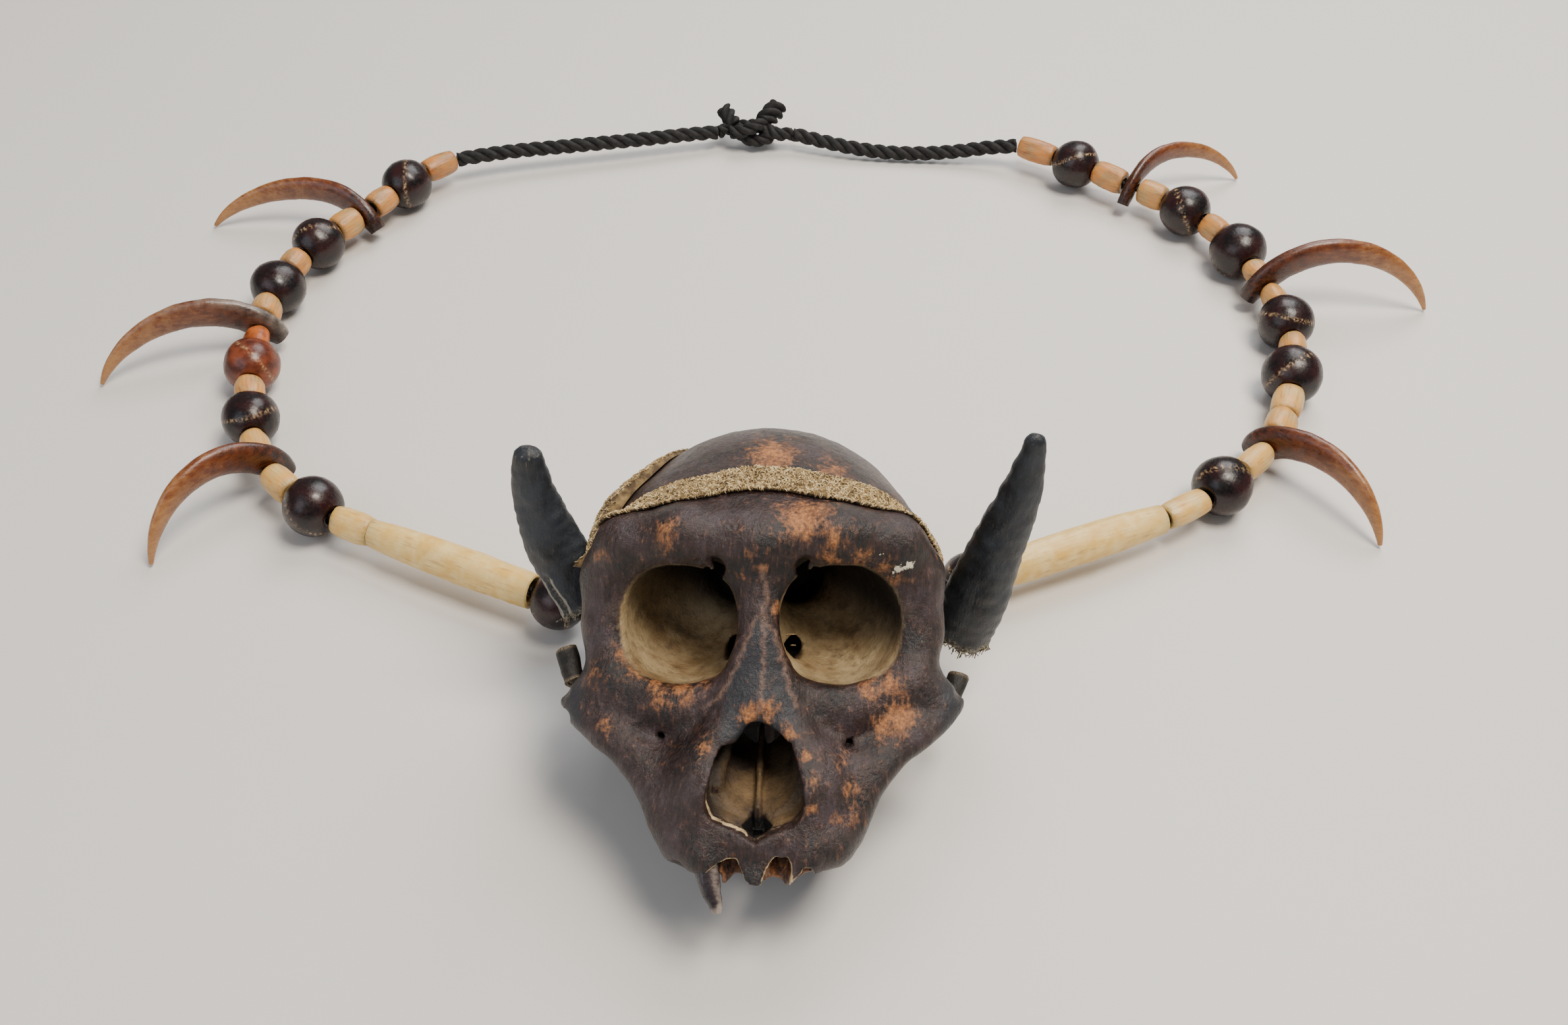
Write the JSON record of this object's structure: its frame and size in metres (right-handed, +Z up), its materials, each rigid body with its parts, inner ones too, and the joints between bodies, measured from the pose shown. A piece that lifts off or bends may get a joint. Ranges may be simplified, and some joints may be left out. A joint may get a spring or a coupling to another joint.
{
  "type": "skull necklace",
  "caption": "Necklace laid out in a ring: a small macaque skull pendant with horns and woven bands, strung seeds, bone beads and curved tusks, tied by a knotted rope.",
  "frame": {"origin": "middle of the base of the laid-out necklace, on the surface that it lies on", "axes": "+Z up, the skull faces -Y, +X to the viewer's right"},
  "size_m": [0.3444, 0.2823, 0.0662],
  "materials": {
    "bone_patina": "satin, worn patina",
    "tooth": "satin",
    "woven_fibre": "rough woven",
    "thong": "matt, worn",
    "horn": "satin, scratched",
    "seed": "satin",
    "bone_bead": "satin, aged",
    "tusk": "satin",
    "cord": "matt black"
  },
  "bodies": {
    "root": {"skull": "bone_patina", "canine": "tooth", "forehead_band": "woven_fibre", "crown_band": "woven_fibre", "thong_roll_left": "thong", "thong_roll_right": "thong", "horn_left": "horn", "horn_right": "horn", "tube_left_1": "bone_bead", "bone_left_1": "bone_bead", "bone_left_2": "bone_bead", "bone_left_3": "bone_bead", "bone_left_4": "bone_bead", "bone_left_5": "bone_bead", "bone_left_6": "bone_bead", "bone_left_7": "bone_bead", "bone_left_8": "bone_bead", "bone_left_9": "bone_bead", "bone_left_10": "bone_bead", "seed_left_1": "seed", "seed_left_2": "seed", "seed_left_3": "seed", "seed_left_4": "seed", "seed_left_5": "seed", "seed_left_6": "seed", "seed_left_7": "seed", "tusk_left_1": "tusk", "tusk_left_2": "tusk", "tusk_left_3": "tusk", "string_left": "cord", "rope_left": "cord", "tube_right_1": "bone_bead", "bone_right_1": "bone_bead", "bone_right_2": "bone_bead", "bone_right_3": "bone_bead", "bone_right_4": "bone_bead", "bone_right_5": "bone_bead", "bone_right_6": "bone_bead", "bone_right_7": "bone_bead", "bone_right_8": "bone_bead", "bone_right_9": "bone_bead", "bone_right_10": "bone_bead", "bone_right_11": "bone_bead", "seed_right_1": "seed", "seed_right_2": "seed", "seed_right_3": "seed", "seed_right_4": "seed", "seed_right_5": "seed", "seed_right_6": "seed", "seed_right_7": "seed", "tusk_right_1": "tusk", "tusk_right_2": "tusk", "tusk_right_3": "tusk", "string_right": "cord", "rope_right": "cord", "knot": "cord"}
  },
  "joints": []
}
